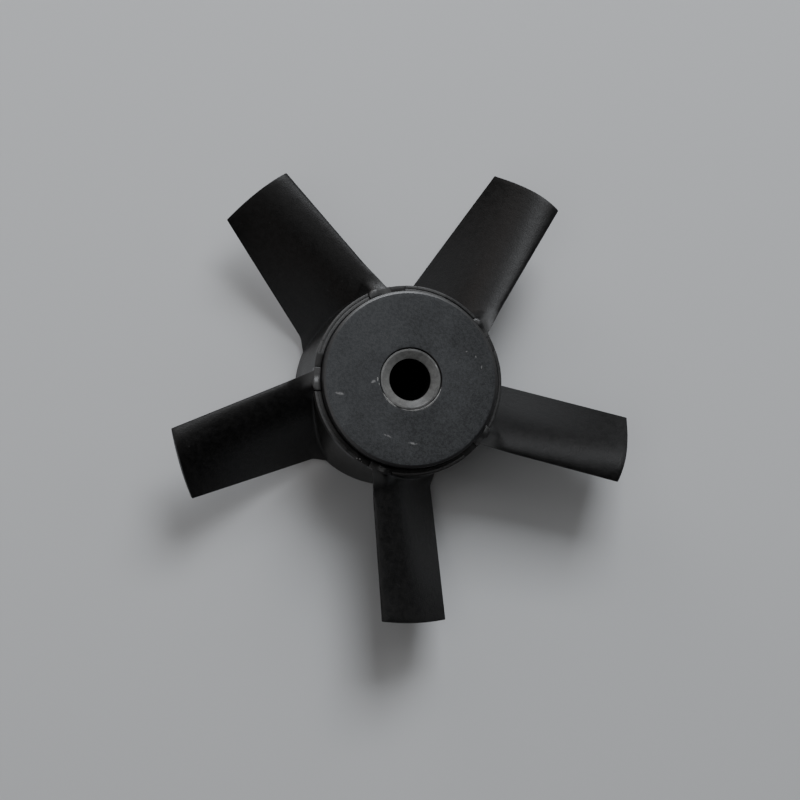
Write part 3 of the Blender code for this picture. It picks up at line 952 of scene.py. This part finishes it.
def rest_outline(turned_by):
    """The rest's outline: the lip ends before the rest does."""
    lip_radius = FRONT_RADIUS - LIP_WIDTH
    floor_height = shoulder - FLOOR_STEP
    lip_height = shoulder if turned_by < LIP_END else floor_height + LOW_STEP
    groove = floor_height - LIP_GROOVE_DEPTH
    return rounded([
        (inside, FOOT_BOTTOM, 0), (outside, FOOT_BOTTOM, 0), (outside, lip_height, 0.04),
        (lip_radius, lip_height, 0.03), (lip_radius, groove, 0), (lip_radius - LIP_GROOVE, groove, 0),
        (lip_radius - LIP_GROOVE, floor_height, 0.03), (inside, floor_height, 0.03),
    ], longest=9.0, steps=3)


def build_rest(index):
    start = blade_angle(index) + FOOT_START_ANGLE + PAD_ANGLE + END_SEAM
    whole = REST_ANGLE + 2 * SEAM_ANGLE - HAIRLINE - END_SEAM
    turns = [LIP_END * i / LIP_STEPS for i in range(LIP_STEPS)] + [LIP_END - LIP_FALL, LIP_END]
    turns += [LIP_END + (whole - LIP_END) * i / LOW_STEPS for i in range(1, LOW_STEPS + 1)]
    angles = [start + turned_by for turned_by in turns]
    build_arc(f"foot_rest_{index + 1}", rest_outline, angles, 0, f"rim_segment_{index + 1}")


for index in range(BLADE_COUNT):
    build_pad(index)
    build_rest(index)

# %% [markdown]
# ## The front disc
# The raised disc is what the propeller nut or the spinner bears on. Its face has the coarse, dull grain of a
# spark-eroded mould, but the bevels at its rim and round its hole were turned on a lathe and came out smooth.
# That is why the rim draws a bright line on the side towards the light and a dark one on the other side.

# %% Build the front disc
HOLE_RADIUS, DISC_STEPS = 4.06, 240
RIM_BEVEL, HOLE_BEVEL = 0.34, 0.10
disc_bottom = HUB_HEIGHT - DISC_THICKNESS
rim_edge, hole_edge = DISC_RADIUS - RIM_BEVEL, HOLE_RADIUS + HOLE_BEVEL
face_outline = rounded([
    (rim_edge, disc_bottom, 0.05), (rim_edge, HUB_HEIGHT, 0.02),
    (hole_edge, HUB_HEIGHT, 0.02), (hole_edge, disc_bottom, 0.05),
], longest=0.5)
add_piece("face_disc", turned(face_outline, DISC_STEPS), disc_finish, "disc_plastic", "front_disc")

# %% [markdown]
# ### The turned bands
# The two bevels are narrow rings of their own, so that they can have the smooth finish. A nut has pressed on
# the hole's lip, so a noise bends it a little.

# %% Build the turned bands at its rim and its hole
RIM_BEVEL_DROP, HOLE_BEVEL_DROP, BAND_DEPTH = 0.12, 0.07, 0.6
HOLE_WAVINESS, HOLE_WAVES = 0.02, 1500.0
band_bottom = HUB_HEIGHT - BAND_DEPTH
rim_outline = rounded([
    (DISC_RADIUS, disc_bottom, 0.05), (DISC_RADIUS, HUB_HEIGHT - RIM_BEVEL_DROP, 0.07),
    (rim_edge, HUB_HEIGHT, 0.0), (rim_edge, disc_bottom, 0.0),
], longest=0.5)
hole_outline = rounded([
    (hole_edge, band_bottom, 0.0), (hole_edge, HUB_HEIGHT, 0.0),
    (HOLE_RADIUS, HUB_HEIGHT - HOLE_BEVEL_DROP, 0.02), (HOLE_RADIUS, band_bottom, 0.0),
], longest=0.3)
add_piece("rim_band", turned(rim_outline, DISC_STEPS), edge_finish, "disc_plastic")
hole_band = turned(hole_outline, DISC_STEPS)
for vertex in hole_band.verts:
    if vertex.co.xy.length < HOLE_RADIUS + HOLE_BEVEL / 2:
        stray = HOLE_WAVINESS * (1.0 + noise_value(vertex.co * MM * HOLE_WAVES))
        vertex.co += Vector((*vertex.co.xy.normalized(), 0.0)) * stray
add_piece("hole_band", hole_band, edge_finish, "disc_plastic")

# %% [markdown]
# ## The bore ring
# The motor's shaft adaptor passes through a tube in the middle. The tube's end sits a little below the disc,
# dishes down to the bore and is rubbed pale and uneven by the adaptor, while the tube itself stays black. So
# the pale end is a ring of its own, and a noise lowers its top by a few hundredths of a millimetre.

# %% Build the bore ring
SLEEVE_RADIUS, BORE_RADIUS = 4.01, 2.75
SLEEVE_RECESS, SLEEVE_LENGTH = 0.18, 7.3
SLEEVE_RIM, SLEEVE_DISH = 0.30, 0.46
RING_DEPTH, RING_STEPS = 0.8, 180
RING_WEAR, WEAR_WAVES = 0.03, 900.0
sleeve_top = HUB_HEIGHT - SLEEVE_RECESS
sleeve_bottom = sleeve_top - SLEEVE_LENGTH
ring_outline = rounded([
    (SLEEVE_RADIUS, sleeve_top - RING_DEPTH, 0.02), (SLEEVE_RADIUS, sleeve_top, 0.06),
    (SLEEVE_RADIUS - SLEEVE_RIM, sleeve_top, 0.10), (BORE_RADIUS, sleeve_top - SLEEVE_DISH, 0.06),
    (BORE_RADIUS, sleeve_top - RING_DEPTH, 0.02),
], longest=0.25)
bore_ring = turned(ring_outline, RING_STEPS)
for vertex in bore_ring.verts:
    if vertex.co.z > sleeve_top - SLEEVE_DISH:
        vertex.co.z -= RING_WEAR * (1.0 + noise_value(vertex.co * MM * WEAR_WAVES))
add_piece("bore_ring", bore_ring, bore_finish, "sleeve_plastic", "shaft_sleeve")

# %% [markdown]
# ### The tube
# The black tube carries on under the ring, a hair thinner on both sides, so that their surfaces never fight
# for the same place.

# %% Build the tube under the ring
TUBE_WALL_STEP, TUBE_OVERLAP, TUBE_STEPS = 0.02, 0.04, 144
tube_top = sleeve_top - RING_DEPTH + TUBE_OVERLAP
tube_outer, tube_inner = SLEEVE_RADIUS - TUBE_WALL_STEP, BORE_RADIUS + TUBE_WALL_STEP
tube_outline = rounded([
    (tube_outer, sleeve_bottom, 0.12), (tube_outer, tube_top, 0.0),
    (tube_inner, tube_top, 0.0), (tube_inner, sleeve_bottom, 0.12),
], longest=0.4)
add_piece("bore_tube", turned(tube_outline, TUBE_STEPS), blade_finish, "sleeve_plastic")

# %% [markdown]
# ## Flash and burrs
# Where two mould halves meet, or a tool slipped, a thin flake of nylon stands up and catches the light. Each
# flake is a short, three-sided arc whose size follows a noise, so that no two are alike. The table gives each
# one's name, radius, middle angle, spread, base height and width.

# %% Raise the flakes
FLAKE_WAVES, FLAKE_RAGGEDNESS, FLAKE_LEAST = 0.55, 0.6, 0.05
RIDGE_LEAN, RIDGE_RISE = 0.3, 0.9
FLAKES = (("bore_burr_1", 4.42, 179.0, 8.0, 15.79, 0.14), ("bore_burr_2", 4.30, 187.0, 6.0, 15.78, 0.12),
          ("bore_burr_3", 4.14, 295.0, 96.0, 15.785, 0.18), ("bore_burr_4", 4.17, 222.0, 36.0, 15.785, 0.21),
          ("bore_burr_5", 3.82, 24.0, 9.0, 15.60, 0.10),
          ("rest_flash_1", 12.36, 233.6, 1.0, 14.08, 0.13), ("rest_flash_2", 12.22, 235.4, 1.3, 14.06, 0.15),
          ("rest_flash_3", 12.40, 237.0, 0.7, 14.08, 0.10))
for name, radius, angle, spread, base, width in FLAKES:
    shape = bmesh.new()
    rings = []
    steps = max(16, round(spread * 1.5))
    for i in range(steps + 1):
        here = i / steps
        turn = angle + spread * (here - 0.5)
        ragged = noise_value(Vector((FLAKE_WAVES * turn, radius, angle)))
        lump = math.sin(math.pi * here) ** 0.5 * (FLAKE_RAGGEDNESS + FLAKE_RAGGEDNESS * ragged)
        lump = max(FLAKE_LEAST, lump) * width
        ridge = (radius - RIDGE_LEAN * lump, base + RIDGE_RISE * lump)
        outline = ((radius - lump, base), ridge, (radius + lump, base))
        rings.append([shape.verts.new(on_circle(r, turn, z)) for r, z in outline])
    lay_faces(shape, rings, capped=True)
    add_piece(name, shape, flash_finish, "shoulder_plastic" if "rest" in name else "disc_plastic")

# %% [markdown]
# ## The ribs inside the hub
# Behind the disc, five ribs tie the tube to the wall, one under each blade. They are seen only from behind.
# Each one is a bar that gets thinner away from the disc, so that it could be drawn out of its mould.

# %% Build the ribs
RIB_THICKNESS, RIB_DEPTH, RIB_DRAFT, RIB_SINK = 1.2, 3.1, 0.85, 0.1
RIB_STEPS, RIB_SOFTENING = 12, 0.12


def build_rib(index):
    """The rib under one blade, sunk a little into the tube and the wall."""
    top = HUB_HEIGHT - DISC_THICKNESS + HAIR
    inner, outer = SLEEVE_RADIUS - RIB_SINK, HUB_INNER_RADIUS + RIB_SINK
    wide = RIB_THICKNESS / 2
    narrow = wide * RIB_DRAFT
    outline = ((-wide, top), (wide, top), (narrow, top - RIB_DEPTH), (-narrow, top - RIB_DEPTH))
    turn = Matrix.Rotation(math.radians(blade_angle(index)), 4, "Z")
    shape = bmesh.new()
    rows = []
    for i in range(RIB_STEPS + 1):
        along = inner + (outer - inner) * i / RIB_STEPS
        rows.append([shape.verts.new(turn @ Vector((along, across, z))) for across, z in outline])
    lay_faces(shape, rows, capped=True)
    soften(shape, RIB_SOFTENING)
    add_piece(f"hub_web_{index + 1}", shape, hub_finish, "hub_plastic", f"hub_rib_{index + 1}")


for index in range(BLADE_COUNT):
    build_rib(index)
